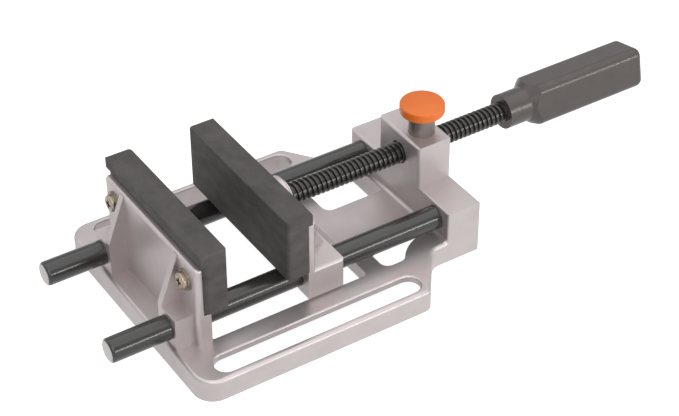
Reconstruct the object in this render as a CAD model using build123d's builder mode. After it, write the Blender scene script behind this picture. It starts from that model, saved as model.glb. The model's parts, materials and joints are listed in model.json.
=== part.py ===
from build123d import *
import math
import os

os.makedirs("parts", exist_ok=True)

# A drill press vise with a quick release. Millimetres, +Z up, +X from the fixed jaw to the handle.
# The origin is on the base's underside, where the rib of the cross bar meets the rib of the spine.
# The near side is -Y, the far side +Y.

# Base flange
base_length = 187.0
cross_bar_from_back = 66.3
base_width = 150.0
flange_height = 13.0
web_thickness = 3.6
skirt_wall = 3.0
flange_edge_radius = 2.0
front_corner_radius = 11.5
shoulder_from_back = 51.2
shoulder_radius = 6.0
waist_from_back = 31.0
waist_radius = 9.0
tail_radius = 3.0
rib_thickness = 4.0

# Width of the fixed jaw and of the rear block
casting_width = 95.2

# Openings in the flange
slot_width = 13.2
slot_front_margin = 12.3
slot_back_margin = 0.5
slot_side_margin = 4.0
slot_edge_radius = 1.0
main_window_width = 92.0
main_window_radius = 2.5
cross_bar_width = 10.8
spine_width = 32.0
rear_window_outer_y = 46.5
rear_window_back_margin = 3.1
rear_window_radius = 5.0
rear_window_arc_radius = 28.0
rear_window_arc_y = 61.0

# Rear block and its tower
block_depth = 21.0
shoulder_height = 31.9
tower_width = 37.8
tower_height = 57.6
tower_fillet = 5.5
block_corner_radius = 2.2
block_edge_radius = 1.5
block_root_fillet = 2.6

# Jaws and pads
fixed_face_from_front = 30.3
rest_opening = 34.4
jaw_width = 100.0
pad_thickness = 13.5
pad_bottom_z = 33.5
pad_height = 37.4
pad_corner_radius = 2.2
pad_edge_radius = 0.8
lip_overhang = 1.4
lip_height = 6.6
lip_radius = 2.2
jaw_step_height = 32.0
fixed_wall_ledge = 4.0
fixed_plate_thickness = 4.0
fixed_plate_height = 61.7
plate_top_radius = 1.8
jaw_back_radius = 2.5
boss_inner_y = 27.8
boss_outer_y = 43.6
boss_length = 10.6
boss_radius = 2.5
gusset_inner_y = 26.2
gusset_thickness = 4.0
fixed_gusset_top_z = 61.0
fixed_gusset_knee_z = 33.5

# Guide rods and the screws that hold them
rod_diameter = 13.3
rod_spacing = 70.8
rod_axis_z = 23.2
rod_overhang = 32.0
rod_end_wall = 3.5
rod_end_radius = 2.0
rod_fit = 0.03
slide_clearance = 0.09
grub_diameter = 6.0
grub_length = 8.0
grub_hex = 3.0
grub_hex_depth = 3.0
thread_fit = 0.03

# Moving jaw casting
moving_casting_width = 94.8
rail_clearance = 1.3
moving_plate_thickness = 4.6
moving_plate_height = 63.0
moving_block_length = 21.8
moving_gusset_top_z = 60.0
moving_edge_radius = 2.0
moving_side_radius = 1.6
root_overlap = 1.0
moving_core_width = 46.0
moving_core_wall = 4.0
moving_core_roof = 5.0
screw_boss_diameter = 24.6
screw_boss_length = 14.1
screw_boss_web = 14.0
screw_boss_edge_radius = 1.2

# Pad screws and washers
pad_screw_y = 37.3
pad_screw_z = 50.7
pad_screw_diameter = 6.0
pad_screw_depth = 8.5
pad_screw_head_diameter = 9.4
pad_screw_head_height = 2.6
pad_screw_recess_width = 1.4
pad_screw_recess_length = 5.0
pad_screw_recess_depth = 1.3
pad_screw_hole_clearance = 0.25
washer_diameter = 11.8
washer_thickness = 1.2

# Lead screw, its washer and its ring
screw_axis_z = 44.6
screw_diameter = 12.0
screw_length = 143.5
journal_diameter = 9.0
journal_fit = 0.09
ring_groove_diameter = 7.0
ring_diameter = 14.0
ring_thickness = 1.2
ring_side_play = 0.05
ring_opening = 4.9
journal_tip = 1.3
counterbore_diameter = 18.0
counterbore_depth = 4.0
thrust_washer_diameter = 20.0
thrust_washer_thickness = 1.2
axial_play = 0.05
nut_hole_clearance = 0.6
tang_diameter = 10.0
tang_flats = 8.0
tang_length = 32.0
tang_fit = 0.05

# Handle grip
collar_diameter = 20.0
collar_length = 14.8
collar_overlap = 2.0
grip_side = 23.8
grip_corner_radius = 5.0
grip_length = 78.0
grip_turn = -12.0
grip_front_cone = 5.5
grip_back_radius = 4.0

# Quick release
button_from_back = 10.1
button_y = -5.3
button_diameter = 24.5
button_thickness = 6.4
button_gap = 12.8
button_dome_height = 1.0
button_edge_radius = 0.9
plunger_diameter = 14.2
plunger_fit = 0.09
plunger_bottom_z = 27.0
plunger_spigot_diameter = 8.0
plunger_spigot_length = 2.6
release_travel = 5.0
half_nut_fit = 0.09
notch_side_clearance = 0.5
notch_top_clearance = 0.9
plunger_bore_floor_z = 6.0
stop_pin_diameter = 3.0
stop_pin_inset = 1.2
stop_pin_z = 33.0
stop_pin_reach = 14.0
stop_pin_fit = 0.02
stop_slot_clearance = 0.3
spring_diameter = 11.0
spring_wire = 1.2
spring_coils = 6.0
spring_seat_gap = 0.1

# Places that follow from the sizes above
back_x = cross_bar_from_back
front_x = back_x - base_length
shoulder_x = back_x - shoulder_from_back
waist_x = back_x - waist_from_back
fixed_face_x = front_x + fixed_face_from_front
button_x = back_x - button_from_back
block_front_x = back_x - block_depth
fixed_pad_back_x = fixed_face_x - pad_thickness
fixed_wall_back_x = fixed_pad_back_x - fixed_plate_thickness
fixed_wall_front_x = fixed_pad_back_x + fixed_wall_ledge
moving_face_x = fixed_face_x + rest_opening
moving_pad_back_x = moving_face_x + pad_thickness
moving_plate_back_x = moving_pad_back_x + moving_plate_thickness
moving_block_back_x = moving_pad_back_x + moving_block_length
moving_bottom_z = flange_height + rail_clearance
screw_boss_end_x = moving_pad_back_x + screw_boss_length
main_window_front_x = fixed_wall_front_x
main_window_back_x = -cross_bar_width / 2
main_window_length = main_window_back_x - main_window_front_x
rear_window_front_x = cross_bar_width / 2
rear_window_back_x = block_front_x - rear_window_back_margin
rear_window_length = rear_window_back_x - rear_window_front_x
spine_near_y = button_y - spine_width / 2
spine_far_y = button_y + spine_width / 2
slot_front_x = front_x + slot_front_margin
slot_back_x = shoulder_x - slot_back_margin
slot_centre_x = (slot_front_x + slot_back_x) / 2
slot_centre_y = base_width / 2 - slot_side_margin - slot_width / 2
rod_y = rod_spacing / 2
gusset_pitch = 2 * gusset_inner_y + gusset_thickness
rod_radius = rod_diameter / 2
rod_start_x = front_x - rod_overhang
rod_end_x = back_x - rod_end_wall
front_grub_x = (fixed_wall_back_x + fixed_wall_front_x) / 2
rear_grub_x = (block_front_x + rod_end_x) / 2
grub_top_z = rod_axis_z - rod_radius
grub_bottom_z = grub_top_z - grub_length
thrust_face_x = screw_boss_end_x + thrust_washer_thickness + axial_play
counterbore_floor_x = moving_pad_back_x + counterbore_depth
ring_back_x = counterbore_floor_x - axial_play
journal_start_x = ring_back_x - ring_thickness - journal_tip
thread_end_x = thrust_face_x + screw_length
collar_front_x = thread_end_x - collar_overlap
grip_front_x = collar_front_x + collar_length
grip_back_x = grip_front_x + grip_length
grip_reach = (grip_side / 2 - grip_corner_radius) * math.sqrt(2) + grip_corner_radius
plunger_radius = plunger_diameter / 2
button_bottom_z = tower_height + button_gap
cap_top_z = button_bottom_z + button_thickness
button_dome_radius = (button_diameter**2 / 4 + button_dome_height**2) / (2 * button_dome_height)
stop_pin_y = button_y - plunger_radius + stop_pin_inset
nut_hole_radius = screw_diameter / 2 + nut_hole_clearance
notch_side_y = -screw_diameter / 2 - notch_side_clearance
notch_top_z = screw_axis_z + screw_diameter / 2 + release_travel + notch_top_clearance

# Rear block and tower, drawn across the vise and run along it
with BuildPart() as rear_block:
    with BuildSketch(Plane.YZ.offset(block_front_x)) as block_face:
        with Locations((0, shoulder_height / 2)):
            Rectangle(casting_width, shoulder_height)
        with Locations((0, tower_height / 2)):
            Rectangle(tower_width, tower_height)
        roots = block_face.vertices().filter_by(
            lambda p: abs(abs(p.Y) - tower_width / 2) < 0.1 and abs(p.Z - shoulder_height) < 0.1
        )
        fillet(roots, tower_fillet)
        crests = block_face.vertices().filter_by(
            lambda p: (p.Z > tower_height - 0.1) or (abs(p.Y) > casting_width / 2 - 0.1 and p.Z > 1)
        )
        fillet(crests, block_corner_radius)
    extrude(amount=block_depth)
    rims = rear_block.edges().filter_by(
        lambda e: (
            abs(e.center().X - block_front_x) < 0.01 or abs(e.center().X - back_x) < 0.01
        )
        and e.center().Z > 1
    )
    fillet(rims, block_edge_radius)

# Base casting: flange, fixed jaw and rear block in one piece
with BuildPart() as base_casting:
    with BuildSketch() as outline:
        with BuildLine():
            Polyline(
                (front_x, -base_width / 2),
                (shoulder_x, -base_width / 2),
                (waist_x, -casting_width / 2),
                (back_x, -casting_width / 2),
                (back_x, casting_width / 2),
                (waist_x, casting_width / 2),
                (shoulder_x, base_width / 2),
                (front_x, base_width / 2),
                close=True,
            )
        make_face()
        fillet(outline.vertices().filter_by(lambda p: p.X < front_x + 1), front_corner_radius)
        fillet(outline.vertices().filter_by(lambda p: abs(p.X - shoulder_x) < 0.1), shoulder_radius)
        fillet(outline.vertices().filter_by(lambda p: abs(p.X - waist_x) < 0.1), waist_radius)
        fillet(outline.vertices().filter_by(lambda p: p.X > back_x - 0.1), tail_radius)
    extrude(amount=flange_height)
    fillet(base_casting.faces().sort_by(Axis.Z)[-1].edges(), flange_edge_radius)

    # Two long slots with rounded rims
    with BuildSketch() as slots:
        with Locations((slot_centre_x, slot_centre_y), (slot_centre_x, -slot_centre_y)):
            SlotOverall(slot_back_x - slot_front_x, slot_width)
    extrude(amount=flange_height, mode=Mode.SUBTRACT)
    slot_rims = base_casting.edges().filter_by(
        lambda e: abs(e.center().Z - flange_height) < 0.01
        and abs(abs(e.center().Y) - slot_centre_y) < slot_width / 2 + 0.1
        and e.center().X < slot_back_x + 0.1
    )
    fillet(slot_rims, slot_edge_radius)

    # Hollow underside inside the skirt, with solid metal left beneath the jaw, the bosses and the block
    with BuildSketch() as hollow:
        add(outline.sketch)
        offset(amount=-skirt_wall)
        with Locations(((fixed_wall_back_x + fixed_wall_front_x) / 2, 0)):
            Rectangle(fixed_wall_front_x - fixed_wall_back_x, casting_width, mode=Mode.SUBTRACT)
        with Locations(
            (fixed_wall_back_x - boss_length / 2, (boss_inner_y + boss_outer_y) / 2),
            (fixed_wall_back_x - boss_length / 2, -(boss_inner_y + boss_outer_y) / 2),
        ):
            Rectangle(boss_length, boss_outer_y - boss_inner_y, mode=Mode.SUBTRACT)
        with Locations(((rear_window_back_x + back_x) / 2, 0)):
            Rectangle(back_x - rear_window_back_x, casting_width, mode=Mode.SUBTRACT)
        Rectangle(rib_thickness, rear_window_outer_y * 2, mode=Mode.SUBTRACT)
        with Locations(((rear_window_front_x + rear_window_back_x) / 2, 0)):
            Rectangle(rear_window_length + cross_bar_width, rib_thickness, mode=Mode.SUBTRACT)
    extrude(amount=flange_height - web_thickness, mode=Mode.SUBTRACT)

    # Fixed jaw: low wall with a ledge under the pad, and a thinner plate behind the pad
    with BuildSketch(Plane.XZ.offset(-casting_width / 2)) as jaw_profile:
        with BuildLine():
            Polyline(
                (fixed_wall_back_x, 0),
                (fixed_wall_front_x, 0),
                (fixed_wall_front_x, jaw_step_height),
                (fixed_pad_back_x, jaw_step_height),
                (fixed_pad_back_x, fixed_plate_height),
                (fixed_wall_back_x, fixed_plate_height),
                close=True,
            )
        make_face()
    extrude(amount=casting_width)
    plate_edges = base_casting.edges().filter_by(
        lambda e: abs(abs(e.center().Y) - casting_width / 2) < 0.01
        and abs(e.center().X - fixed_wall_back_x) < 0.01
        and e.center().Z > flange_height
    )
    fillet(plate_edges, jaw_back_radius)
    plate_top = base_casting.edges().filter_by(
        lambda e: abs(e.center().Z - fixed_plate_height) < 0.01 and e.center().X < fixed_pad_back_x - 0.1
    )
    fillet(plate_top, plate_top_radius)

    # Rod bosses on the back of the fixed jaw
    with BuildSketch(Plane.YZ.offset(fixed_wall_back_x)) as boss_faces:
        with Locations(
            ((boss_inner_y + boss_outer_y) / 2, jaw_step_height / 2),
            (-(boss_inner_y + boss_outer_y) / 2, jaw_step_height / 2),
        ):
            Rectangle(boss_outer_y - boss_inner_y, jaw_step_height)
        fillet(
            boss_faces.vertices().filter_by(lambda p: abs(p.Y) > boss_outer_y - 0.1 and p.Z > 1),
            boss_radius,
        )
    extrude(amount=-boss_length)

    # Gussets between the bosses and the plate
    with BuildSketch(Plane.XZ.offset(gusset_inner_y)) as gusset_profile:
        with BuildLine():
            Polyline(
                (fixed_wall_back_x, web_thickness),
                (fixed_wall_back_x, fixed_gusset_top_z),
                (fixed_wall_back_x - boss_length, fixed_gusset_knee_z),
                (fixed_wall_back_x - boss_length, web_thickness),
                close=True,
            )
        make_face()
    extrude(amount=gusset_thickness)
    extrude(gusset_profile.sketch.moved(Location((0, gusset_pitch, 0))), amount=gusset_thickness)

    # Rear block
    add(rear_block.part)
    root_edges = base_casting.edges().filter_by(
        lambda e: abs(e.center().X - block_front_x) < 0.01
        and abs(e.center().Z - flange_height) < 0.01
        and e.length > 10
    )
    fillet(root_edges, block_root_fillet)

    # Windows through the flange, one before the cross bar and two behind it
    with BuildSketch() as windows:
        with Locations(((main_window_front_x + main_window_back_x) / 2, 0)):
            Rectangle(main_window_length, main_window_width)
        fillet(windows.vertices(), main_window_radius)
    extrude(amount=flange_height, mode=Mode.SUBTRACT)
    with BuildSketch() as rear_windows:
        for inner_y, outer_y in ((spine_near_y, -rear_window_outer_y), (spine_far_y, rear_window_outer_y)):
            with Locations(((rear_window_front_x + rear_window_back_x) / 2, (inner_y + outer_y) / 2)):
                Rectangle(rear_window_length, abs(outer_y - inner_y))
        with Locations((rear_window_back_x, rear_window_arc_y), (rear_window_back_x, -rear_window_arc_y)):
            Circle(rear_window_arc_radius, mode=Mode.SUBTRACT)
        front_corners = rear_windows.vertices().filter_by(lambda p: p.X < rear_window_back_x - 1)
        fillet(front_corners, rear_window_radius)
        back_corners = rear_windows.vertices().filter_by(lambda p: p.X > rear_window_back_x - 0.1)
        fillet(back_corners, main_window_radius)
    extrude(amount=flange_height, mode=Mode.SUBTRACT)

    # Bores for the guide rods, through the fixed jaw and blind in the block
    with BuildSketch(Plane.YZ.offset(front_x)) as front_bores:
        with Locations((rod_y, rod_axis_z), (-rod_y, rod_axis_z)):
            Circle(rod_radius + rod_fit)
    extrude(amount=fixed_wall_front_x - front_x, mode=Mode.SUBTRACT)
    with BuildSketch(Plane.YZ.offset(block_front_x)) as rear_bores:
        with Locations((rod_y, rod_axis_z), (-rod_y, rod_axis_z)):
            Circle(rod_radius + rod_fit)
    extrude(amount=rod_end_x - block_front_x, mode=Mode.SUBTRACT)

    # Tapped holes for the grub screws, from the underside to the rod bores
    with BuildSketch() as grub_holes:
        with Locations(
            (front_grub_x, rod_y), (front_grub_x, -rod_y), (rear_grub_x, rod_y), (rear_grub_x, -rod_y)
        ):
            Circle(grub_diameter / 2 + thread_fit)
    extrude(amount=rod_axis_z, mode=Mode.SUBTRACT)

    # Screw hole through the tower, plunger bore from its top and the stop pin's hole from its back
    with BuildSketch(Plane.YZ.offset(block_front_x)) as screw_hole:
        with Locations((0, screw_axis_z)):
            Circle(nut_hole_radius)
    extrude(amount=block_depth, mode=Mode.SUBTRACT)
    with BuildSketch(Plane.XY.offset(plunger_bore_floor_z)) as plunger_bore:
        with Locations((button_x, button_y)):
            Circle(plunger_radius + plunger_fit)
    extrude(amount=tower_height, mode=Mode.SUBTRACT)
    with BuildSketch(Plane.YZ.offset(back_x)) as pin_hole:
        with Locations((stop_pin_y, stop_pin_z)):
            Circle(stop_pin_diameter / 2 + stop_pin_fit)
    extrude(amount=-stop_pin_reach, mode=Mode.SUBTRACT)

    # Clearance holes for the pad screws
    with BuildSketch(Plane.YZ.offset(fixed_wall_back_x)) as pad_holes:
        with Locations((pad_screw_y, pad_screw_z), (-pad_screw_y, pad_screw_z)):
            Circle(pad_screw_diameter / 2 + pad_screw_hole_clearance)
    extrude(amount=fixed_plate_thickness, mode=Mode.SUBTRACT)

# Guide rods, rounded at both ends
with BuildPart() as guide_rod_near:
    with BuildSketch(Plane.YZ.offset(rod_start_x)):
        with Locations((-rod_y, rod_axis_z)):
            Circle(rod_radius)
    extrude(amount=rod_end_x - rod_start_x)
    fillet(guide_rod_near.edges().filter_by(GeomType.CIRCLE), rod_end_radius)

with BuildPart() as guide_rod_far:
    mirror(guide_rod_near.part, about=Plane.XZ)

# Grub screws that lock the rods from below
with BuildPart() as rod_grub_screw_front_near:
    with BuildSketch(Plane.XY.offset(grub_bottom_z)):
        with Locations((front_grub_x, -rod_y)):
            Circle(grub_diameter / 2)
    extrude(amount=grub_length)
    with BuildSketch(Plane.XY.offset(grub_bottom_z)):
        with Locations((front_grub_x, -rod_y)):
            RegularPolygon(grub_hex / 2, 6, major_radius=False)
    extrude(amount=grub_hex_depth, mode=Mode.SUBTRACT)

with BuildPart() as rod_grub_screw_front_far:
    mirror(rod_grub_screw_front_near.part, about=Plane.XZ)

with BuildPart() as rod_grub_screw_rear_near:
    add(rod_grub_screw_front_near.part.moved(Location((rear_grub_x - front_grub_x, 0, 0))))

with BuildPart() as rod_grub_screw_rear_far:
    mirror(rod_grub_screw_rear_near.part, about=Plane.XZ)

# Moving jaw casting
with BuildPart() as moving_jaw_casting:
    with BuildSketch(Plane.XZ.offset(-moving_casting_width / 2)) as moving_profile:
        with BuildLine():
            Polyline(
                (moving_pad_back_x, moving_bottom_z),
                (moving_block_back_x, moving_bottom_z),
                (moving_block_back_x, jaw_step_height),
                (moving_plate_back_x, jaw_step_height),
                (moving_plate_back_x, moving_plate_height),
                (moving_pad_back_x, moving_plate_height),
                close=True,
            )
        make_face()
        fillet(
            moving_profile.vertices().filter_by(
                lambda p: abs(p.X - moving_plate_back_x) < 0.1 and abs(p.Z - jaw_step_height) < 0.1
            ),
            moving_edge_radius,
        )
        fillet(
            moving_profile.vertices().filter_by(
                lambda p: (p.X > moving_block_back_x - 0.1 and p.Z > moving_bottom_z + 1)
                or (p.X > moving_pad_back_x + 0.1 and p.Z > moving_plate_height - 0.1)
            ),
            plate_top_radius,
        )
    extrude(amount=moving_casting_width)
    back_edges = moving_jaw_casting.edges().filter_by(
        lambda e: abs(abs(e.center().Y) - moving_casting_width / 2) < 0.01
        and e.center().X > moving_pad_back_x + 0.1
        and e.center().Z > moving_bottom_z + 0.1
    )
    fillet(back_edges, moving_side_radius)

    # Gussets from the block's top to the plate
    with BuildSketch(Plane.XZ.offset(gusset_inner_y)) as moving_gusset:
        with BuildLine():
            Polyline(
                (moving_plate_back_x, jaw_step_height - root_overlap),
                (moving_plate_back_x, moving_gusset_top_z),
                (moving_block_back_x - plate_top_radius, jaw_step_height),
                (moving_block_back_x - plate_top_radius, jaw_step_height - root_overlap),
                close=True,
            )
        make_face()
    extrude(amount=gusset_thickness)
    extrude(moving_gusset.sketch.moved(Location((0, gusset_pitch, 0))), amount=gusset_thickness)

    # Boss that carries the lead screw, on a web up from the block
    with BuildSketch(Plane.YZ.offset(moving_pad_back_x)) as boss_disc:
        with Locations((0, screw_axis_z)):
            Circle(screw_boss_diameter / 2)
    extrude(amount=screw_boss_length)
    fillet(
        moving_jaw_casting.edges().filter_by(GeomType.CIRCLE).filter_by(
            lambda e: abs(e.center().X - screw_boss_end_x) < 0.01
        ),
        screw_boss_edge_radius,
    )
    with BuildSketch(Plane.YZ.offset(moving_pad_back_x)) as boss_web:
        with Locations((0, (jaw_step_height - root_overlap + screw_axis_z) / 2)):
            Rectangle(screw_boss_web, screw_axis_z - jaw_step_height + root_overlap)
    extrude(amount=screw_boss_length - screw_boss_edge_radius)

    # Core hollow beneath the block, between the rod bores
    with BuildSketch(Plane.XY.offset(moving_bottom_z)) as core:
        with Locations(((moving_pad_back_x + moving_block_back_x) / 2, 0)):
            RectangleRounded(
                moving_block_length - 2 * moving_core_wall, moving_core_width, main_window_radius
            )
    extrude(amount=jaw_step_height - moving_core_roof - moving_bottom_z, mode=Mode.SUBTRACT)

    # Rod bores, journal bore with its counterbore, and pad screw holes
    with BuildSketch(Plane.YZ.offset(moving_pad_back_x)) as moving_bores:
        with Locations((rod_y, rod_axis_z), (-rod_y, rod_axis_z)):
            Circle(rod_radius + slide_clearance)
        with Locations((0, screw_axis_z)):
            Circle(journal_diameter / 2 + journal_fit)
    extrude(amount=moving_block_length, mode=Mode.SUBTRACT)
    with BuildSketch(Plane.YZ.offset(moving_pad_back_x)) as counterbore:
        with Locations((0, screw_axis_z)):
            Circle(counterbore_diameter / 2)
    extrude(amount=counterbore_depth, mode=Mode.SUBTRACT)
    with BuildSketch(Plane.YZ.offset(moving_pad_back_x)) as moving_pad_holes:
        with Locations((pad_screw_y, pad_screw_z), (-pad_screw_y, pad_screw_z)):
            Circle(pad_screw_diameter / 2 + pad_screw_hole_clearance)
    extrude(amount=moving_plate_thickness, mode=Mode.SUBTRACT)

# Fixed jaw pad: a rounded bar with a lip over the plate
with BuildPart() as fixed_jaw_pad:
    with BuildSketch(Plane.XY.offset(pad_bottom_z)) as pad_plan:
        with Locations(((fixed_pad_back_x + fixed_face_x) / 2, 0)):
            Rectangle(pad_thickness, jaw_width)
        fillet(pad_plan.vertices(), pad_corner_radius)
    extrude(amount=pad_height)
    with BuildSketch(Plane.XZ.offset(-jaw_width / 2)) as lip_profile:
        with BuildLine():
            Polyline(
                (fixed_pad_back_x + pad_corner_radius, pad_bottom_z + pad_height - lip_height),
                (fixed_pad_back_x + pad_corner_radius, pad_bottom_z + pad_height),
                (fixed_pad_back_x - lip_overhang, pad_bottom_z + pad_height),
                (fixed_pad_back_x - lip_overhang, pad_bottom_z + pad_height - lip_height),
                close=True,
            )
        make_face()
        fillet(
            lip_profile.vertices().filter_by(
                lambda p: p.X < fixed_pad_back_x - lip_overhang + 0.1
                and p.Z > pad_bottom_z + pad_height - 0.1
            ),
            lip_radius,
        )
    extrude(amount=jaw_width)
    fillet(
        fixed_jaw_pad.edges().filter_by(
            lambda e: abs(e.center().X - fixed_face_x) < 0.01 and abs(e.center().Y) < 1
        ),
        pad_edge_radius,
    )
    with BuildSketch(Plane.YZ.offset(fixed_pad_back_x)) as pad_taps:
        with Locations((pad_screw_y, pad_screw_z), (-pad_screw_y, pad_screw_z)):
            Circle(pad_screw_diameter / 2 + thread_fit)
    extrude(amount=pad_screw_depth, mode=Mode.SUBTRACT)

with BuildPart() as moving_jaw_pad:
    mirror(fixed_jaw_pad.part, about=Plane.YZ.offset((fixed_face_x + moving_face_x) / 2))

# Pad screws: pan heads with a cross recess, seated on washers
with BuildPart() as fixed_pad_screw_near:
    with BuildSketch(Plane.YZ.offset(fixed_wall_back_x - washer_thickness)) as screw_shank:
        with Locations((-pad_screw_y, pad_screw_z)):
            Circle(pad_screw_diameter / 2)
    extrude(amount=washer_thickness + fixed_plate_thickness + pad_screw_depth - thread_fit)
    with BuildSketch(Plane.YZ.offset(fixed_wall_back_x - washer_thickness)) as screw_head:
        with Locations((-pad_screw_y, pad_screw_z)):
            Circle(pad_screw_head_diameter / 2)
    extrude(amount=-pad_screw_head_height)
    fillet(fixed_pad_screw_near.edges().sort_by(Axis.X)[0], pad_screw_head_height / 2)
    with BuildSketch(
        Plane.YZ.offset(fixed_wall_back_x - washer_thickness - pad_screw_head_height)
    ) as screw_recess:
        with Locations((-pad_screw_y, pad_screw_z)):
            Rectangle(pad_screw_recess_width, pad_screw_recess_length)
            Rectangle(pad_screw_recess_length, pad_screw_recess_width)
    extrude(amount=pad_screw_recess_depth, mode=Mode.SUBTRACT)

with BuildPart() as fixed_pad_screw_far:
    mirror(fixed_pad_screw_near.part, about=Plane.XZ)

with BuildPart() as moving_pad_screw_near:
    mirror(
        fixed_pad_screw_near.part.moved(
            Location((fixed_plate_thickness - moving_plate_thickness, 0, 0))
        ),
        about=Plane.YZ.offset((fixed_face_x + moving_face_x) / 2),
    )

with BuildPart() as moving_pad_screw_far:
    mirror(moving_pad_screw_near.part, about=Plane.XZ)

with BuildPart() as fixed_pad_washer_near:
    with BuildSketch(Plane.YZ.offset(fixed_wall_back_x)) as washer_ring:
        with Locations((-pad_screw_y, pad_screw_z)):
            Circle(washer_diameter / 2)
            Circle(pad_screw_diameter / 2 + pad_screw_hole_clearance, mode=Mode.SUBTRACT)
    extrude(amount=-washer_thickness)

with BuildPart() as fixed_pad_washer_far:
    mirror(fixed_pad_washer_near.part, about=Plane.XZ)

with BuildPart() as moving_pad_washer_near:
    mirror(
        fixed_pad_washer_near.part.moved(
            Location((fixed_plate_thickness - moving_plate_thickness, 0, 0))
        ),
        about=Plane.YZ.offset((fixed_face_x + moving_face_x) / 2),
    )

with BuildPart() as moving_pad_washer_far:
    mirror(moving_pad_washer_near.part, about=Plane.XZ)

# Lead screw: journal in the boss, threaded length, and a tang with two flats inside the grip
with BuildPart() as lead_screw:
    with BuildSketch(Plane.YZ.offset(journal_start_x)):
        with Locations((0, screw_axis_z)):
            Circle(journal_diameter / 2)
    extrude(amount=thrust_face_x - journal_start_x)
    with BuildSketch(Plane.YZ.offset(thrust_face_x)):
        with Locations((0, screw_axis_z)):
            Circle(screw_diameter / 2)
    extrude(amount=screw_length)
    with BuildSketch(Plane.YZ.offset(thread_end_x)):
        with Locations((0, screw_axis_z)):
            Circle(tang_diameter / 2)
            Rectangle(tang_diameter, tang_flats, mode=Mode.INTERSECT)
    extrude(amount=tang_length)
    with BuildSketch(Plane.YZ.offset(ring_back_x - ring_thickness)):
        with Locations((0, screw_axis_z)):
            Circle(ring_diameter / 2)
            Circle(ring_groove_diameter / 2, mode=Mode.SUBTRACT)
    extrude(amount=ring_thickness, mode=Mode.SUBTRACT)

# Retaining ring, open at the bottom, snapped in the journal's groove
with BuildPart() as retaining_ring:
    with BuildSketch(Plane.YZ.offset(ring_back_x - ring_side_play)):
        with Locations((0, screw_axis_z)):
            Circle(ring_diameter / 2)
            Circle(ring_groove_diameter / 2, mode=Mode.SUBTRACT)
        with Locations((0, screw_axis_z - ring_diameter / 2)):
            Rectangle(ring_opening, ring_diameter, mode=Mode.SUBTRACT)
    extrude(amount=2 * ring_side_play - ring_thickness)

# Thrust washer between the boss and the thread's shoulder
with BuildPart() as thrust_washer:
    with BuildSketch(Plane.YZ.offset(screw_boss_end_x)):
        with Locations((0, screw_axis_z)):
            Circle(thrust_washer_diameter / 2)
            Circle(journal_diameter / 2 + journal_fit, mode=Mode.SUBTRACT)
    extrude(amount=thrust_washer_thickness)

# Handle grip: a rounded square bar, turned to a cone towards its round collar
with BuildPart() as grip_envelope:
    with BuildSketch(Plane.XZ) as envelope_half:
        with BuildLine():
            Polyline(
                (collar_front_x, screw_axis_z),
                (collar_front_x, screw_axis_z + collar_diameter / 2),
                (grip_front_x, screw_axis_z + collar_diameter / 2),
                (grip_front_x + grip_front_cone, screw_axis_z + grip_reach),
                (grip_back_x, screw_axis_z + grip_reach),
                (grip_back_x, screw_axis_z),
                close=True,
            )
        make_face()
    revolve(axis=Axis((0, 0, screw_axis_z), (1, 0, 0)))

with BuildPart() as handle_grip:
    with BuildSketch(Plane.YZ.offset(grip_front_x)) as grip_section:
        with Locations((0, screw_axis_z)):
            RectangleRounded(grip_side, grip_side, grip_corner_radius, rotation=grip_turn)
    extrude(amount=grip_length)
    fillet(handle_grip.faces().sort_by(Axis.X)[-1].edges(), grip_back_radius)
    add(grip_envelope.part, mode=Mode.INTERSECT)
    with BuildSketch(Plane.YZ.offset(collar_front_x)):
        with Locations((0, screw_axis_z)):
            Circle(collar_diameter / 2)
    extrude(amount=collar_length)
    with BuildSketch(Plane.YZ.offset(collar_front_x)):
        with Locations((0, screw_axis_z)):
            Circle(screw_diameter / 2 + tang_fit)
    extrude(amount=collar_overlap, mode=Mode.SUBTRACT)
    with BuildSketch(Plane.YZ.offset(thread_end_x)):
        with Locations((0, screw_axis_z)):
            Circle(tang_diameter / 2 + tang_fit)
            Rectangle(
                tang_diameter + 2 * tang_fit, tang_flats + 2 * tang_fit, mode=Mode.INTERSECT
            )
    extrude(amount=tang_length + tang_fit, mode=Mode.SUBTRACT)

# Release plunger: stem below the button, notch for the screw with a half nut under it, stop slot
with BuildPart() as release_plunger:
    with BuildSketch(Plane.XY.offset(plunger_bottom_z)):
        with Locations((button_x, button_y)):
            Circle(plunger_radius)
    extrude(amount=button_bottom_z - plunger_bottom_z)
    with BuildSketch(Plane.XY.offset(button_bottom_z)):
        with Locations((button_x, button_y)):
            Circle(plunger_spigot_diameter / 2)
    extrude(amount=plunger_spigot_length)
    with BuildSketch(Plane.YZ.offset(button_x - plunger_radius)) as notch:
        with BuildLine():
            Polyline(
                (notch_side_y, screw_axis_z),
                (plunger_diameter, screw_axis_z),
                (plunger_diameter, notch_top_z),
                (notch_side_y, notch_top_z),
                close=True,
            )
        make_face()
        with Locations((0, screw_axis_z)):
            Circle(screw_diameter / 2 + half_nut_fit)
    extrude(amount=plunger_diameter, mode=Mode.SUBTRACT)
    with BuildSketch(Plane.YZ.offset(button_x - plunger_radius)) as stop_slot:
        with Locations(
            (
                button_y - plunger_radius,
                stop_pin_z + release_travel / 2,
            )
        ):
            Rectangle(
                2 * (stop_pin_inset + stop_pin_diameter / 2 + stop_slot_clearance),
                stop_pin_diameter + release_travel + 2 * stop_slot_clearance,
            )
    extrude(amount=plunger_diameter, mode=Mode.SUBTRACT)

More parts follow.
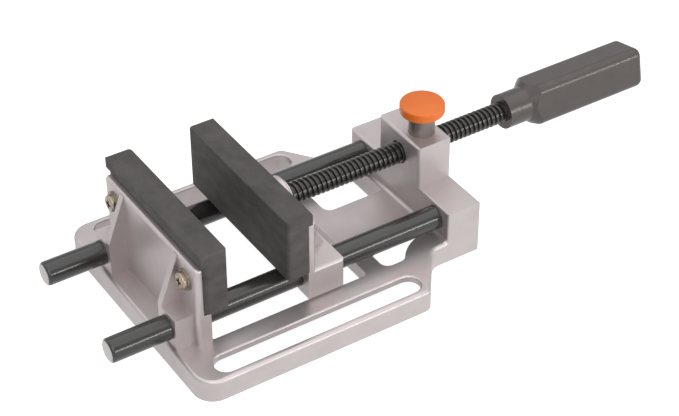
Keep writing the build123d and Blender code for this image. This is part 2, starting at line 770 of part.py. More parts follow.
# Orange cap pressed on the plunger's spigot, with a shallow dome
with BuildPart() as button_cap:
    with BuildSketch(Plane.XZ.offset(-button_y)) as cap_half:
        with BuildLine():
            cap_side = Polyline(
                (button_x, cap_top_z),
                (button_x, button_bottom_z),
                (button_x + button_diameter / 2, button_bottom_z),
                (button_x + button_diameter / 2, cap_top_z - button_dome_height),
            )
            RadiusArc(cap_side @ 1, cap_side @ 0, -button_dome_radius)
        make_face()
        fillet(
            cap_half.vertices().filter_by(lambda p: p.X > button_x + button_diameter / 2 - 0.1),
            button_edge_radius,
        )
    revolve(axis=Axis((button_x, button_y, 0), (0, 0, 1)))
    with BuildSketch(Plane.XY.offset(button_bottom_z)):
        with Locations((button_x, button_y)):
            Circle(plunger_spigot_diameter / 2 + thread_fit)
    extrude(amount=plunger_spigot_length + thread_fit, mode=Mode.SUBTRACT)

# Stop pin pressed in from the back of the tower
with BuildPart() as plunger_stop_pin:
    with BuildSketch(Plane.YZ.offset(back_x)):
        with Locations((stop_pin_y, stop_pin_z)):
            Circle(stop_pin_diameter / 2)
    extrude(amount=-stop_pin_reach)

# Coil spring under the plunger
spring_height = plunger_bottom_z - plunger_bore_floor_z - spring_wire - 2 * spring_seat_gap
with BuildPart() as release_spring:
    with BuildLine() as coil:
        Helix(
            pitch=spring_height / spring_coils,
            height=spring_height,
            radius=(spring_diameter - spring_wire) / 2,
            center=(button_x, button_y, plunger_bore_floor_z + spring_seat_gap + spring_wire / 2),
        )
    with BuildSketch(coil.line ^ 0):
        Circle(spring_wire / 2)
    sweep()

base_casting.part.label = "base_casting"
export_step(base_casting.part, "parts/base_casting.step")

guide_rod_near.part.label = "guide_rod_near"
export_step(guide_rod_near.part, "parts/guide_rod_near.step")

guide_rod_far.part.label = "guide_rod_far"
export_step(guide_rod_far.part, "parts/guide_rod_far.step")

rod_grub_screw_front_near.part.label = "rod_grub_screw_front_near"
export_step(rod_grub_screw_front_near.part, "parts/rod_grub_screw_front_near.step")

rod_grub_screw_front_far.part.label = "rod_grub_screw_front_far"
export_step(rod_grub_screw_front_far.part, "parts/rod_grub_screw_front_far.step")

rod_grub_screw_rear_near.part.label = "rod_grub_screw_rear_near"
export_step(rod_grub_screw_rear_near.part, "parts/rod_grub_screw_rear_near.step")

rod_grub_screw_rear_far.part.label = "rod_grub_screw_rear_far"
export_step(rod_grub_screw_rear_far.part, "parts/rod_grub_screw_rear_far.step")

fixed_jaw_pad.part.label = "fixed_jaw_pad"
export_step(fixed_jaw_pad.part, "parts/fixed_jaw_pad.step")

fixed_pad_screw_near.part.label = "fixed_pad_screw_near"
export_step(fixed_pad_screw_near.part, "parts/fixed_pad_screw_near.step")

fixed_pad_screw_far.part.label = "fixed_pad_screw_far"
export_step(fixed_pad_screw_far.part, "parts/fixed_pad_screw_far.step")

fixed_pad_washer_near.part.label = "fixed_pad_washer_near"
export_step(fixed_pad_washer_near.part, "parts/fixed_pad_washer_near.step")

fixed_pad_washer_far.part.label = "fixed_pad_washer_far"
export_step(fixed_pad_washer_far.part, "parts/fixed_pad_washer_far.step")

moving_jaw_casting.part.label = "moving_jaw_casting"
export_step(moving_jaw_casting.part, "parts/moving_jaw_casting.step")

moving_jaw_pad.part.label = "moving_jaw_pad"
export_step(moving_jaw_pad.part, "parts/moving_jaw_pad.step")

moving_pad_screw_near.part.label = "moving_pad_screw_near"
export_step(moving_pad_screw_near.part, "parts/moving_pad_screw_near.step")

moving_pad_screw_far.part.label = "moving_pad_screw_far"
export_step(moving_pad_screw_far.part, "parts/moving_pad_screw_far.step")

moving_pad_washer_near.part.label = "moving_pad_washer_near"
export_step(moving_pad_washer_near.part, "parts/moving_pad_washer_near.step")

moving_pad_washer_far.part.label = "moving_pad_washer_far"
export_step(moving_pad_washer_far.part, "parts/moving_pad_washer_far.step")

lead_screw.part.label = "lead_screw"
export_step(lead_screw.part, "parts/lead_screw.step")

thrust_washer.part.label = "thrust_washer"
export_step(thrust_washer.part, "parts/thrust_washer.step")

retaining_ring.part.label = "retaining_ring"
export_step(retaining_ring.part, "parts/retaining_ring.step")

handle_grip.part.label = "handle_grip"
export_step(handle_grip.part, "parts/handle_grip.step")

button_cap.part.label = "button_cap"
export_step(button_cap.part, "parts/button_cap.step")

release_plunger.part.label = "release_plunger"
export_step(release_plunger.part, "parts/release_plunger.step")

release_spring.part.label = "release_spring"
export_step(release_spring.part, "parts/release_spring.step")

plunger_stop_pin.part.label = "plunger_stop_pin"
export_step(plunger_stop_pin.part, "parts/plunger_stop_pin.step")
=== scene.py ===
# %% [markdown]
# # A drill press vise, dressed for its picture
#
# The vise comes to Blender as a finished CAD assembly: 26 solids, each at its true place, with the
# origin on the underside of the base, X along the screw and Z up, in metres. Nothing here moves or
# resizes those solids. What is left to do is what a CAD model doesn't carry: the thread that runs
# along the lead screw, the finish of each metal and plastic, the light and the camera.

# %% Load the frame
import json
import math

import bmesh
import bpy
from mathutils import Matrix, Vector


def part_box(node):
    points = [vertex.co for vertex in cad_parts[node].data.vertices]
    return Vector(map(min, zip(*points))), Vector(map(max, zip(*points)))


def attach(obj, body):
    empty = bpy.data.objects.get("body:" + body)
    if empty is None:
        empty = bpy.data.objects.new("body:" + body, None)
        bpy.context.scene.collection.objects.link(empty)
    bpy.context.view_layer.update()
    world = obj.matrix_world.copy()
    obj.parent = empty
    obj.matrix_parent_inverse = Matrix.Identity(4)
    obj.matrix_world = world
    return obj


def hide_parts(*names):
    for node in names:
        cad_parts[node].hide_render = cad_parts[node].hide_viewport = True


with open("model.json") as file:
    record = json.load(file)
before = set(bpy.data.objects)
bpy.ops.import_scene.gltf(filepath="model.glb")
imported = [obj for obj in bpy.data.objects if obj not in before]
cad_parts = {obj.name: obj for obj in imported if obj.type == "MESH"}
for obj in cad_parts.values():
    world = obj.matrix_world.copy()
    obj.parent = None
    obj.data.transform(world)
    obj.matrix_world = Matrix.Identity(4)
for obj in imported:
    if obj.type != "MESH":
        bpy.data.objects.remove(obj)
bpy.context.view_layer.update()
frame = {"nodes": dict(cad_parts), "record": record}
nodes = frame["nodes"]
scene = bpy.context.scene
MM = 0.001

# %% [markdown]
# ## Small helpers for node trees
#
# A material and a Geometry Nodes tree are both built out of nodes and links. Clicking them
# together works, but a script can be read from top to bottom. One helper adds a node with its
# settings and input values, one links sockets, one names the sockets of a group, and one does
# arithmetic, so that each effect below is only a few lines long.


# %% Helpers for trees
def put(tree, kind, inputs=None, **settings):
    """Adds a node, sets its options by name and its inputs by name or number."""
    node = tree.nodes.new(kind)
    for name, value in settings.items():
        setattr(node, name, value)
    for key, value in (inputs or {}).items():
        node.inputs[key].default_value = value
    return node


def wire(tree, *pairs):
    """Links each (output, input) pair of sockets."""
    for source, target in pairs:
        tree.links.new(source, target)


def sockets(tree, inputs, outputs):
    """Gives a node group its named inputs and outputs, each as (name, kind, default)."""
    for direction, rows in (("INPUT", inputs), ("OUTPUT", outputs)):
        for name, kind, default in rows:
            socket = tree.interface.new_socket(name, in_out=direction, socket_type="NodeSocket" + kind)
            if default is not None:
                socket.default_value = default


def maths(tree, operation, *terms, clamp=False):
    """One Math node: each term is a number or a socket. Returns its output socket."""
    node = put(tree, "ShaderNodeMath", operation=operation, use_clamp=clamp)
    for target, term in zip(node.inputs, terms):
        if isinstance(term, (int, float)):
            target.default_value = term
        else:
            wire(tree, (term, target))
    return node.outputs[0]


print("helpers ready")

# %% [markdown]
# ## The lead screw's thread
#
# The real screw is a 12 mm bar with a trapezoidal thread of 3 mm pitch, cut from the shoulder
# behind the jaw to the collar of the handle. The CAD solid is its plain envelope. A thread could
# be a profile swept along a helix, but the ends and overlaps of such a sweep are hard to close.
# Here the bar's skin is a grid: one side runs along the bar, the other once round it, and each
# row is sheared by one pitch per turn, so that the rows themselves follow the helix. A point's
# distance from the axis then follows one rule, the trapezoid wave of its row. Crests and roots
# come out crisp, the skin is closed, and every size is a named input of the tree.

# %% Sizes of the screw, read from its solid and its neighbours
PITCH = 3.0 * MM
THREAD_DEPTH = 1.1 * MM
CREST_SHARE = 0.42
RUNOUT = 2.0 * MM
COLLAR_OVERLAP = 2.0 * MM
AXIAL_PLAY = 0.05 * MM
ROWS_PER_TURN = 12
SIDES = 48
WELD = 0.01 * MM
GROOVE = "groove"
screw_low, screw_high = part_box("lead_screw")
axis_height = (screw_low.z + screw_high.z) / 2
major_radius = (screw_high.z - screw_low.z) / 2
thread_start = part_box("thrust_washer")[1].x + AXIAL_PLAY
thread_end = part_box("handle_grip")[0].x + COLLAR_OVERLAP
turns = math.ceil((thread_end - thread_start) / PITCH) + 1
print("thread from x", round(thread_start, 4), "to", round(thread_end, 4))
print(turns, "turns of the row at radius", round(major_radius, 4))

# %% [markdown]
# ## The tree that cuts the thread
#
# The tree takes a flat grid one unit square and reads two numbers off each point: which row of the
# helix it is on, and how far round the bar. From those it works out a place along X and a radius,
# and Set Position moves the point there. The depth of the groove is also stored as an attribute,
# because the finish will want to know crest from root. Two discs close the ends, and a merge by
# distance welds the seam.


# %% The thread's tree
def thread_tree():
    """A closed threaded bar along X: a sheared grid wrapped round the axis, and two end discs."""
    tree = bpy.data.node_groups.new("Threaded bar", "GeometryNodeTree")
    sockets(
        tree,
        [
            ("Start", "Float", thread_start),
            ("End", "Float", thread_end),
            ("Axis Height", "Float", axis_height),
            ("Major Radius", "Float", major_radius),
            ("Thread Depth", "Float", THREAD_DEPTH),
            ("Pitch", "Float", PITCH),
            ("Crest Share", "Float", CREST_SHARE),
            ("Runout", "Float", RUNOUT),
            ("Turns", "Int", turns),
            ("Rows per Turn", "Int", ROWS_PER_TURN),
            ("Sides", "Int", SIDES),
            ("Finish", "Material", None),
        ],
        [("Geometry", "Geometry", None)],
    )
    given = tree.nodes.new("NodeGroupInput").outputs
    result = tree.nodes.new("NodeGroupOutput")

    def calc(operation, *terms, clamp=False):
        return maths(tree, operation, *terms, clamp=clamp)

    # The flat grid, one by one and centred: its X counts all turns, its Y goes round one of them
    grid = put(tree, "GeometryNodeMeshGrid", {"Size X": 1.0, "Size Y": 1.0})
    rows = calc("MULTIPLY_ADD", given["Turns"], given["Rows per Turn"], 1)
    wire(
        tree,
        (rows, grid.inputs["Vertices X"]),
        (calc("ADD", given["Sides"], 1), grid.inputs["Vertices Y"]),
    )
    flat = put(tree, "ShaderNodeSeparateXYZ")
    wire(tree, (tree.nodes.new("GeometryNodeInputPosition").outputs[0], flat.inputs[0]))
    turn = calc("ADD", flat.outputs["Y"], 0.5)
    row = calc("MULTIPLY", calc("ADD", flat.outputs["X"], 0.5), given["Turns"])

    # Sheared by a pitch per turn, then held between the ends
    advance = calc("MULTIPLY", calc("SUBTRACT", calc("ADD", row, turn), 1), given["Pitch"])
    free_x = calc("ADD", advance, given["Start"])
    x = calc("MINIMUM", calc("MAXIMUM", free_x, given["Start"]), given["End"])

    # The trapezoid wave of the row: 0 on the crest, 1 in the root, straight flanks between
    folded = calc("ABSOLUTE", calc("SUBTRACT", calc("FRACT", row), 0.5))
    flank = calc("SUBTRACT", folded, calc("MULTIPLY", given["Crest Share"], 0.5))
    flank_width = calc("SUBTRACT", 0.5, given["Crest Share"])
    groove = calc("DIVIDE", flank, flank_width, clamp=True)

    # The groove runs out near each end, so that the ends are round
    to_end = calc("MINIMUM", calc("SUBTRACT", x, given["Start"]), calc("SUBTRACT", given["End"], x))
    depth = calc("MULTIPLY", groove, calc("DIVIDE", to_end, given["Runout"], clamp=True))
    radius = calc("SUBTRACT", given["Major Radius"], calc("MULTIPLY", depth, given["Thread Depth"]))
    angle = calc("MULTIPLY", turn, 2 * math.pi)
    y = calc("MULTIPLY", radius, calc("COSINE", angle))
    z = calc("MULTIPLY_ADD", radius, calc("SINE", angle), given["Axis Height"])
    place = put(tree, "ShaderNodeCombineXYZ")
    wrap = put(tree, "GeometryNodeSetPosition")
    outward = put(tree, "GeometryNodeFlipFaces")
    marked = put(
        tree,
        "GeometryNodeStoreNamedAttribute",
        {"Name": GROOVE},
        data_type="FLOAT",
        domain="POINT",
    )
    wire(
        tree,
        (x, place.inputs["X"]),
        (y, place.inputs["Y"]),
        (z, place.inputs["Z"]),
        (place.outputs[0], wrap.inputs["Position"]),
        (grid.outputs["Mesh"], marked.inputs["Geometry"]),
        (depth, marked.inputs["Value"]),
        (marked.outputs[0], wrap.inputs["Geometry"]),
        (wrap.outputs[0], outward.inputs["Mesh"]),
    )

    # A disc at each end closes the bar
    join = put(tree, "GeometryNodeJoinGeometry")
    for end, quarter in ((given["Start"], -1), (given["End"], 1)):
        disc = put(tree, "GeometryNodeMeshCircle", fill_type="NGON")
        spot = put(tree, "ShaderNodeCombineXYZ")
        stood = put(tree, "GeometryNodeTransform", {"Rotation": (0, quarter * math.pi / 2, 0)})
        wire(
            tree,
            (given["Sides"], disc.inputs["Vertices"]),
            (given["Major Radius"], disc.inputs["Radius"]),
            (end, spot.inputs["X"]),
            (given["Axis Height"], spot.inputs["Z"]),
            (spot.outputs[0], stood.inputs["Translation"]),
            (disc.outputs[0], stood.inputs["Geometry"]),
            (stood.outputs[0], join.inputs[0]),
        )
    weld = put(tree, "GeometryNodeMergeByDistance", {"Distance": WELD})
    real = put(tree, "GeometryNodeRealizeInstances")
    painted = put(tree, "GeometryNodeSetMaterial")
    wire(
        tree,
        (outward.outputs[0], join.inputs[0]),
        (join.outputs[0], weld.inputs["Geometry"]),
        (weld.outputs[0], real.inputs[0]),
        (real.outputs[0], painted.inputs["Geometry"]),
        (given["Finish"], painted.inputs["Material"]),
        (painted.outputs[0], result.inputs[0]),
    )
    return tree


def grown(tree, name, values):
    """Runs a Geometry Nodes tree with these inputs and returns a plain mesh object."""
    holder = bpy.data.objects.new(name + "_holder", bpy.data.meshes.new(name))
    scene.collection.objects.link(holder)
    modifier = holder.modifiers.new("tree", "NODES")
    modifier.node_group = tree
    known = {i.name: i.identifier for i in tree.interface.items_tree if i.in_out == "INPUT"}
    for label, value in values.items():
        modifier[known[label]] = value
    evaluated = holder.evaluated_get(bpy.context.evaluated_depsgraph_get())
    mesh = bpy.data.meshes.new_from_object(evaluated)
    bpy.data.objects.remove(holder)
    made = bpy.data.objects.new(name, mesh)
    scene.collection.objects.link(made)
    return made


print("thread tree ready")

# %% [markdown]
# ## The same noise for every finish
#
# No real surface is one flat colour. Castings have a fine grain from the mould, plastics a
# stipple, turned steel a faint lay. Each of those is the same recipe with other sizes, so it is a
# node group used in every material: a broad mottle that shifts colour and gloss, and a fine grain
# that only lifts and lowers the surface. It reads Object coordinates, because every piece sits at
# the origin with its place in its mesh, and so the pattern rides along with a moving piece.


# %% The shared group
def surface_group():
    """Mottle (0 to 1) and Grain (a height), from noise on the object's own coordinates."""
    group = bpy.data.node_groups.new("Surface variation", "ShaderNodeTree")
    sockets(
        group,
        [
            ("Mottle Scale", "Float", 40.0),
            ("Mottle Contrast", "Float", 1.0),
            ("Grain Scale", "Float", 900.0),
            ("Stretch", "Vector", (1.0, 1.0, 1.0)),
        ],
        [("Mottle", "Float", None), ("Grain", "Float", None)],
    )
    given = group.nodes.new("NodeGroupInput").outputs
    result = group.nodes.new("NodeGroupOutput")
    where = group.nodes.new("ShaderNodeTexCoord").outputs["Object"]
    stretched = put(group, "ShaderNodeVectorMath", operation="MULTIPLY")
    mottle = put(group, "ShaderNodeTexNoise", {"Detail": 4.0, "Roughness": 0.55})
    grain = put(group, "ShaderNodeTexNoise", {"Detail": 2.0, "Roughness": 0.6})

    # The contrast spreads the mottle about its middle, one half
    centred = maths(group, "SUBTRACT", mottle.outputs["Fac"], 0.5)
    spread = maths(group, "MULTIPLY_ADD", centred, given["Mottle Contrast"], 0.5, clamp=True)
    wire(
        group,
        (where, stretched.inputs[0]),
        (given["Stretch"], stretched.inputs[1]),
        (stretched.outputs[0], mottle.inputs["Vector"]),
        (stretched.outputs[0], grain.inputs["Vector"]),
        (given["Mottle Scale"], mottle.inputs["Scale"]),
        (given["Grain Scale"], grain.inputs["Scale"]),
        (spread, result.inputs["Mottle"]),
        (grain.outputs["Fac"], result.inputs["Grain"]),
    )
    return group


variation = surface_group()
print("group", variation.name, "with", len(variation.interface.items_tree), "sockets")

# %% [markdown]
# ## One finish, many settings
#
# Each finish below is a Principled shader whose base colour runs between two close tones, and
# whose roughness runs between two values, both by the mottle. The grain feeds a Bump node. The
# rest of a finish is fixed numbers on the shader itself: how metallic it is, and how much clear
# coat lies on it. Tones are written as they look on screen, which is how one reads them off a
# picture, and a helper makes them linear.


# %% The finish maker
# A Mix node has a row of sockets for each kind of value: the numbers of factor, A and B, and of
# the result
MIX_SOCKETS = {"RGBA": ((0, 6, 7), 2), "FLOAT": ((0, 2, 3), 0)}


def mixed(tree, factor, first, second, kind="RGBA"):
    """A Mix node between two colours or two numbers, each a value or a socket."""
    node = put(tree, "ShaderNodeMix", data_type=kind)
    places, result = MIX_SOCKETS[kind]
    for index, value in zip(places, (factor, first, second)):
        if isinstance(value, bpy.types.NodeSocket):
            wire(tree, (value, node.inputs[index]))
        else:
            node.inputs[index].default_value = value
    return node.outputs[result]


def tone(red, green, blue):
    """A colour as it looks on screen, 0 to 255, turned into the linear one that a shader needs."""
    values = [v / 255 for v in (red, green, blue)]
    linear = [v / 12.92 if v <= 0.04045 else ((v + 0.055) / 1.055) ** 2.4 for v in values]
    return (*linear, 1.0)


COAT_ROUGHNESS = 0.1
GRAIN_HEIGHT = 0.2 * MM


def finish(
    name,
    light,
    dark,
    roughness,
    metallic=0.0,
    coat=0.0,
    mottle=300.0,
    contrast=1.0,
    grain=2500.0,
    relief=0.06,
    stretch=(1, 1, 1),
):
    """A material between a light and a dark tone and two roughnesses, with a grain on its skin."""
    material = bpy.data.materials.new(name)
    material.use_nodes = True
    tree = material.node_tree
    shader = tree.nodes["Principled BSDF"]
    shader.inputs["Metallic"].default_value = metallic
    shader.inputs["Coat Weight"].default_value = coat
    shader.inputs["Coat Roughness"].default_value = COAT_ROUGHNESS
    values = {
        "Mottle Scale": mottle,
        "Mottle Contrast": contrast,
        "Grain Scale": grain,
        "Stretch": stretch,
    }
    source = put(tree, "ShaderNodeGroup", node_tree=variation)
    for label, value in values.items():
        source.inputs[label].default_value = value
    bump = put(tree, "ShaderNodeBump", {"Strength": relief, "Distance": GRAIN_HEIGHT})
    wire(
        tree,
        (mixed(tree, source.outputs["Mottle"], dark, light), shader.inputs["Base Color"]),
        (mixed(tree, source.outputs["Mottle"], *roughness, kind="FLOAT"), shader.inputs["Roughness"]),
        (source.outputs["Grain"], bump.inputs["Height"]),
        (bump.outputs[0], shader.inputs["Normal"]),
    )
    return material


def parts_of(material):
    """The tree and the shader of a material, for one more effect on it."""
    tree = material.node_tree
    return tree, tree.nodes["Principled BSDF"]


print("finish maker ready")

# %% [markdown]
# ## The castings
#
# Base and moving jaw are aluminium castings with a silver-grey skin: bright where an edge turns to
# the light, even and slightly warm on the flats. The upright faces are as light as the flat ones,
# because they mirror the white ground, so the shader is mostly metal. A satin roughness keeps
# that mirror soft, and a grain of about a millimetre breaks it up.

# %% Casting finish
casting = finish(
    "silver coated casting",
    tone(201, 192, 192),
    tone(188, 180, 180),
    (0.46, 0.38),
    metallic=0.72,
    mottle=60.0,
    contrast=1.4,
    grain=1100.0,
    relief=0.12,
)
print(casting.name)

# %% [markdown]
# ## The guide rods
#
# The rods are ground bars with a glossy black finish, and their flat front ends, inside the
# rounding, are sawn bare. The black lies on the steel like a lacquer, so the body is no metal to
# the shader: a dark base under a partly weighted clear coat. Two materials could share the rod, but
# one does both: a mask that is 1 on the very end mixes in the bare steel. The mask reads the X of
# the object's own coordinates. The grain is drawn out along X, as grinding leaves it.

# %% Rod finish with bare ends
BARE_DEPTH = 0.3 * MM
BARE_STEEL = tone(190, 186, 184)
BARE_ROUGHNESS = 0.4
BARE_METALLIC = 0.6
bare_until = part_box("guide_rod_near")[0].x + BARE_DEPTH
guide_rod = finish(
    "black ground rod",
    tone(46, 44, 43),
    tone(36, 34, 33),
    (0.2, 0.26),
    coat=0.35,
    mottle=120.0,
    grain=2500.0,
    relief=0.03,
    stretch=(0.15, 1, 1),
)
tree, shader = parts_of(guide_rod)
spot = put(tree, "ShaderNodeSeparateXYZ")
wire(tree, (tree.nodes.new("ShaderNodeTexCoord").outputs["Object"], spot.inputs[0]))
front_end = maths(tree, "LESS_THAN", spot.outputs["X"], bare_until)
colour = shader.inputs["Base Color"].links[0].from_socket
gloss = shader.inputs["Roughness"].links[0].from_socket
wire(
    tree,
    (mixed(tree, front_end, colour, BARE_STEEL), shader.inputs["Base Color"]),
    (mixed(tree, front_end, gloss, BARE_ROUGHNESS, kind="FLOAT"), shader.inputs["Roughness"]),
    (maths(tree, "MULTIPLY", front_end, BARE_METALLIC), shader.inputs["Metallic"]),
)
print(guide_rod.name, "bare before x", round(bare_until, 4))

# %% [markdown]
# ## The jaw pads and the grip
#
# The pads are dense dark plastic, matt, blotched, with a coarse grain. A stretch below 1 slows the
# pattern down along that axis, so the blotches are drawn out along the pad's length, Y, and its
# thickness, X. The grip is a smoother, satin plastic of a slightly lighter grey with a fine
# stipple. It is moulded glossy enough to mirror the ground, so its shader has a small metal share.

# %% Pad and grip finishes
jaw_pad = finish(
    "matt pad",
    tone(92, 88, 87),
    tone(60, 57, 54),
    (0.72, 0.58),
    mottle=160.0,
    contrast=1.5,
    grain=1100.0,
    relief=0.5,
    stretch=(0.6, 0.45, 1),
)
grip = finish(
    "satin grip",
    tone(96, 90, 88),
    tone(82, 77, 75),
    (0.34, 0.27),
    metallic=0.35,
    mottle=120.0,
    grain=2200.0,
    relief=0.18,
)
print(jaw_pad.name, "and", grip.name)

# %% [markdown]
# ## The lead screw's finish
#
# The lead screw is black oxide, oiled, and a little worn on its crests. A mask could be worked out
# from each point's distance to the axis, but the thread's tree has already stored the depth of the
# groove as an attribute. It is 0 on the crests, so there the finish is mixed with a lighter steel.

# %% Oiled screw finish
WORN_STEEL = tone(96, 92, 88)
WORN_SHARE = 0.25
lead_screw = finish(
    "oiled black screw",
    tone(42, 40, 38),
    tone(30, 28, 27),
    (0.26, 0.34),
    metallic=0.4,
    coat=0.3,
    grain=2000.0,
)
tree, shader = parts_of(lead_screw)
groove = put(tree, "ShaderNodeAttribute", attribute_name=GROOVE)
crest = maths(tree, "SUBTRACT", 1.0, groove.outputs["Fac"], clamp=True)
worn = maths(tree, "MULTIPLY", crest, WORN_SHARE)
colour = shader.inputs["Base Color"].links[0].from_socket
wire(tree, (mixed(tree, worn, colour, WORN_STEEL), shader.inputs["Base Color"]))
print(lead_screw.name, "with worn crests")

# %% [markdown]
# ## Zinc, bright steel and dark steel
#
# Screws and washers of the pads are zinc plated and yellow, with a tint that shifts from spot to
# spot: the mottle is fine and its contrast high. The thrust washer, the retaining ring, the spring
# and the stop pin are bright steel, the grub screws black oxide, and the plunger is dark steel from
# the lathe, with its grain drawn out round the stem. They all come from the same finish maker,
# because only their tone, gloss and grain differ.

# %% Zinc and steel finishes
zinc_screw = finish(
    "yellow zinc screw",
    tone(176, 166, 148),
    tone(140, 130, 112),
    (0.26, 0.38),
    metallic=0.9,
    mottle=500.0,
    contrast=2.0,
    grain=3000.0,
    relief=0.05,
)
zinc_washer = finish(
    "yellow zinc washer",
    tone(160, 151, 136),
    tone(124, 116, 102),
    (0.3, 0.42),
    metallic=0.9,
    mottle=500.0,
    contrast=2.0,
    grain=3000.0,
    relief=0.05,
)
bright_steel = finish(
    "bright steel",
    tone(196, 194, 192),
    tone(176, 174, 172),
    (0.24, 0.34),
    metallic=0.9,
    grain=3000.0,
    relief=0.04,
)
black_screw = finish(
    "black oxide screw",
    tone(58, 56, 55),
    tone(42, 40, 39),
    (0.34, 0.44),
    metallic=0.5,
    mottle=400.0,
)
plunger = finish(
    "dark turned steel",
    tone(146, 138, 133),
    tone(120, 113, 109),
    (0.3, 0.4),
    metallic=0.6,
    grain=1800.0,
    relief=0.1,
    stretch=(0.2, 0.2, 3),
)
print("two zinc and three steel finishes")

# %% [markdown]
# ## The release button
#
# The one bright piece is a moulded orange cap. Its plastic is satin, and a little of the light
# goes in and comes out again nearby, so a small subsurface weight keeps its shaded rim warm.

# %% Button finish
GLOW_SHARE, GLOW_DEPTH = 0.05, 2.0 * MM
button = finish(
    "orange button",
    tone(254, 128, 34),
    tone(250, 120, 28),
    (0.42, 0.34),
    coat=0.1,
    mottle=150.0,
)
shader = parts_of(button)[1]
shader.inputs["Subsurface Weight"].default_value = GLOW_SHARE
shader.inputs["Subsurface Scale"].default_value = GLOW_DEPTH
print(button.name)

# %% [markdown]
# ## Every solid gets its finish
#
# The record says which finish each solid takes, as a slot name. The solids come with one plain
# material each, so its place is filled with the finish of the same slot.

# %% Assign the finishes
finishes = {
    "casting": casting,
    "guide_rod": guide_rod,
    "jaw_pad": jaw_pad,
    "grip": grip,
    "lead_screw": lead_screw,
    "zinc_screw": zinc_screw,
    "zinc_washer": zinc_washer,
    "bright_steel": bright_steel,
    "black_screw": black_screw,
    "plunger": plunger,
    "button": button,
}
slot_of = {}
for piece in frame["record"]["subparts"]:
    slot_of[piece["node"]] = piece["material_slot"]
for name, solid in nodes.items():
    solid.data.materials.clear()
    solid.data.materials.append(finishes[slot_of[name]])
print("finished", len(nodes), "solids with", len(set(slot_of.values())), "finishes")

# %% [markdown]
# ## The threaded screw takes the plain one's place
#
# The thread's tree makes only the threaded length. The journal that turns in the jaw's boss and
# the flatted tang inside the handle are hidden, but they are real, so they are cut from a copy of
# the CAD solid: one half of the copy before the thread, one half after it, each closed again. The
# three closed pieces, a hair apart, are joined into one mesh, and the plain solid is no longer
# shown. It turns with the screw's body.


# %% Build the screw
SEAM = 0.001 * MM
END_GAP = 0.02 * MM


def end_of_solid(source, plane_x, keep):
    """The part of a solid before (-1) or after (+1) a plane across X, closed, as a bmesh."""
    piece = bmesh.new()
    piece.from_mesh(source.data)
    bmesh.ops.remove_doubles(piece, verts=piece.verts, dist=SEAM)
    bmesh.ops.bisect_plane(
        piece,
        geom=piece.verts[:] + piece.edges[:] + piece.faces[:],
        plane_co=(plane_x, 0, 0),
        plane_no=(keep, 0, 0),
        clear_inner=True,
    )
    rim = [e for e in piece.edges if e.is_boundary]
    bmesh.ops.holes_fill(piece, edges=rim)
    bmesh.ops.recalc_face_normals(piece, faces=piece.faces)
    return piece


thread = grown(
    thread_tree(),
    "threaded_lead_screw",
    {
        "Start": thread_start,
        "End": thread_end,
        "Axis Height": axis_height,
        "Major Radius": major_radius,
        "Thread Depth": THREAD_DEPTH,
        "Pitch": PITCH,
        "Crest Share": CREST_SHARE,
        "Runout": RUNOUT,
        "Turns": turns,
        "Rows per Turn": ROWS_PER_TURN,
        "Sides": SIDES,
        "Finish": lead_screw,
    },
)
screw_mesh = bmesh.new()
screw_mesh.from_mesh(thread.data)
bmesh.ops.recalc_face_normals(screw_mesh, faces=screw_mesh.faces)
for plane_x, keep in ((thread_start - END_GAP, -1), (thread_end + END_GAP, 1)):
    end = end_of_solid(nodes["lead_screw"], plane_x, keep)
    spare = bpy.data.meshes.new("screw_end")
    end.to_mesh(spare)
    screw_mesh.from_mesh(spare)
    end.free()
    bpy.data.meshes.remove(spare)
screw_mesh.to_mesh(thread.data)
volume = screw_mesh.calc_volume(signed=True)
screw_mesh.free()
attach(thread, "screw")
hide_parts("lead_screw")
print("screw", len(thread.data.polygons), "faces, volume", round(volume / MM**3), "mm3")

# %% [markdown]
# ## Smooth faces, crisp edges
#
# The solids come as loose triangles with their own normals, so they already shade rightly. The
# thread is new, and its flanks should look flat while its barrel looks round: smooth shading,
# with every edge sharper than 30 degrees kept crisp.

# %% Shade the screw
SHARP_DEGREES = 30
for polygon in thread.data.polygons:
    polygon.use_smooth = True
thread.data.set_sharp_from_angle(angle=math.radians(SHARP_DEGREES))
print("sharp edges kept above", SHARP_DEGREES, "degrees")

# %% [markdown]
# ## The floor
#
# The picture has a plain white ground with next to no shadow. A pure white sheet would need so much
# light that the object would bleach, so the sheet is pale and a glow is added to it. The glow
# depends on who looks. The camera sees most of it, so the ground is white and the object still
# leaves a faint shadow. A mirrored ray sees less of it, and that ground is what lights the upright
# faces of the metal. Light that bounces as from chalk sees none. A Light Path node tells these
# rays apart.

# %% Floor
FLOOR_SIZE = 6.0
FLOOR_GAP = 0.1 * MM
FLOOR_GREY, FLOOR_ROUGHNESS = 0.6, 0.9
FLOOR_GLOW_SEEN, FLOOR_GLOW_MIRRORED = 0.88, 0.65


def strength_by_ray(tree, seen, mirrored, otherwise):
    """A strength socket with one level for the camera, one for mirrored rays, one for the rest."""
    path = tree.nodes.new("ShaderNodeLightPath").outputs
    direct = maths(tree, "MAXIMUM", path["Is Camera Ray"], path["Is Transmission Ray"])
    looked_at = maths(tree, "MULTIPLY", direct, seen)
    reflected = maths(tree, "MULTIPLY", path["Is Glossy Ray"], mirrored)
    return maths(tree, "MAXIMUM", maths(tree, "MAXIMUM", looked_at, reflected), otherwise)


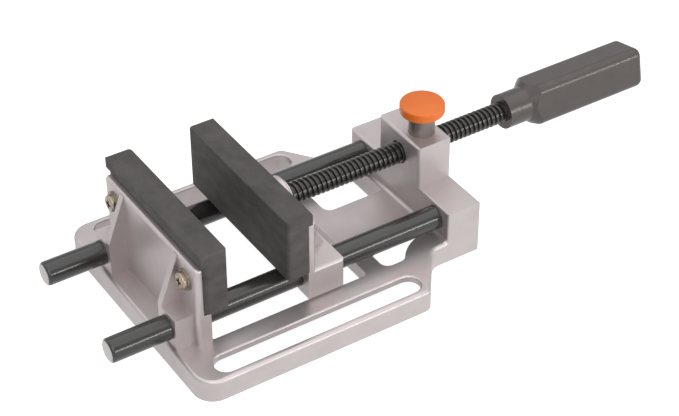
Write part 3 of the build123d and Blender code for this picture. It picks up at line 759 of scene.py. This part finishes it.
half = FLOOR_SIZE / 2
floor_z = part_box("base_casting")[0].z - FLOOR_GAP
corners = [(x * half, y * half, floor_z) for x, y in ((-1, -1), (1, -1), (1, 1), (-1, 1))]
floor_mesh = bpy.data.meshes.new("floor")
floor_mesh.from_pydata(corners, [], [(0, 1, 2, 3)])
floor = bpy.data.objects.new("floor", floor_mesh)
scene.collection.objects.link(floor)
paper = bpy.data.materials.new("white ground")
paper.use_nodes = True
tree, shader = parts_of(paper)
shader.inputs["Base Color"].default_value = (FLOOR_GREY, FLOOR_GREY, FLOOR_GREY, 1)
shader.inputs["Roughness"].default_value = FLOOR_ROUGHNESS
glow = put(tree, "ShaderNodeEmission", {"Color": (1, 1, 1, 1)})
both = tree.nodes.new("ShaderNodeAddShader")
wire(
    tree,
    (strength_by_ray(tree, FLOOR_GLOW_SEEN, FLOOR_GLOW_MIRRORED, 0.0), glow.inputs["Strength"]),
    (shader.outputs[0], both.inputs[0]),
    (glow.outputs[0], both.inputs[1]),
    (both.outputs[0], tree.nodes["Material Output"].inputs["Surface"]),
)
floor_mesh.materials.append(paper)
print("floor at z", floor_z)

# %% [markdown]
# ## The room
#
# Beyond the floor the camera sees plain white, mirrored rays see a bright room, and for all other
# light the room is nearly dark, so that the lamps alone give the object its form. An image of a
# studio could do that too, but one colour with three levels is enough and is easy to follow.

# %% Room
ROOM_SEEN, ROOM_MIRRORED, ROOM_LEVEL = 1.0, 0.75, 0.06
world = bpy.data.worlds.new("soft room")
scene.world = world
world.use_nodes = True
backdrop = world.node_tree.nodes["Background"]
backdrop.inputs["Color"].default_value = (1, 1, 1, 1)
room_strength = strength_by_ray(world.node_tree, ROOM_SEEN, ROOM_MIRRORED, ROOM_LEVEL)
wire(world.node_tree, (room_strength, backdrop.inputs["Strength"]))
print("room light", ROOM_LEVEL)

# %% [markdown]
# ## The lamps
#
# Four soft area lamps shape the object: a broad one right overhead for the flat faces, one from
# the camera's left, a long, narrow and low one on its right that draws a light line along rods,
# thread and edges, and a faint one from behind for the far rims. A point lamp would give hard
# shadows and pinprick highlights, while an area lamp softens both with its size.


# %% Lamps
HEART = Vector((0.0, 0.0, 0.04))


def softbox(name, place, size, power):
    """A rectangular area lamp at a place, turned to the heart of the vise."""
    lamp = bpy.data.lights.new(name, "AREA")
    lamp.shape = "RECTANGLE"
    lamp.size, lamp.size_y = size
    lamp.energy = power
    holder = bpy.data.objects.new(name, lamp)
    holder.location = place
    holder.rotation_euler = (HEART - Vector(place)).to_track_quat("-Z", "Y").to_euler()
    scene.collection.objects.link(holder)
    print("lamp", name, "of", power, "W")


softbox("overhead", (0.0, 0.0, 1.34), (2.4, 2.4), 17.5)
softbox("left", (-0.52, -0.79, 0.77), (0.8, 0.8), 3.2)
softbox("line", (0.51, -1.05, 0.3), (1.4, 0.12), 6.0)
softbox("behind", (-0.726, 0.812, 0.544), (0.8, 0.6), 0.8)

# %% [markdown]
# ## The camera
#
# The camera stands where the photograph was taken from: 33 degrees round to the left of the
# near side and 38 degrees up, a metre away, through a long lens. The numbers come from fitting
# the vise's known corners to their places in the picture. Three unit vectors, right, up and back,
# are worked out from the angles, and together they are the camera's own axes.

# %% Camera
AZIMUTH = math.radians(-32.788)
ELEVATION = math.radians(37.805)
ROLL = math.radians(-0.200)
DISTANCE = 1.023391
LENS, SENSOR_WIDTH = 102.012, 36.0
NEAR_LIMIT, FAR_LIMIT = 0.05, 20.0
AIM = Vector((-0.0304, 0.0, 0.025))
SHIFT_RIGHT, SHIFT_UP = 0.031308, 0.010315
level = Vector((math.cos(AZIMUTH), math.sin(AZIMUTH), 0))
outward = Vector((math.sin(AZIMUTH), -math.cos(AZIMUTH), 0))
back = outward * math.cos(ELEVATION) + Vector((0, 0, math.sin(ELEVATION)))
upward = back.cross(level)
right = level * math.cos(ROLL) + upward * math.sin(ROLL)
up = upward * math.cos(ROLL) - level * math.sin(ROLL)
place = AIM + right * SHIFT_RIGHT + up * SHIFT_UP + back * DISTANCE
camera = bpy.data.cameras.new("camera")
camera.sensor_fit = "HORIZONTAL"
camera.sensor_width = SENSOR_WIDTH
camera.lens = LENS
camera.clip_start = NEAR_LIMIT
camera.clip_end = FAR_LIMIT
eye = bpy.data.objects.new("camera", camera)
eye.matrix_world = Matrix((right, up, back)).transposed().to_4x4()
eye.location = place
scene.collection.objects.link(eye)
scene.camera = eye
scene.view_settings.view_transform = "Standard"
print("camera at", [round(v, 3) for v in place])
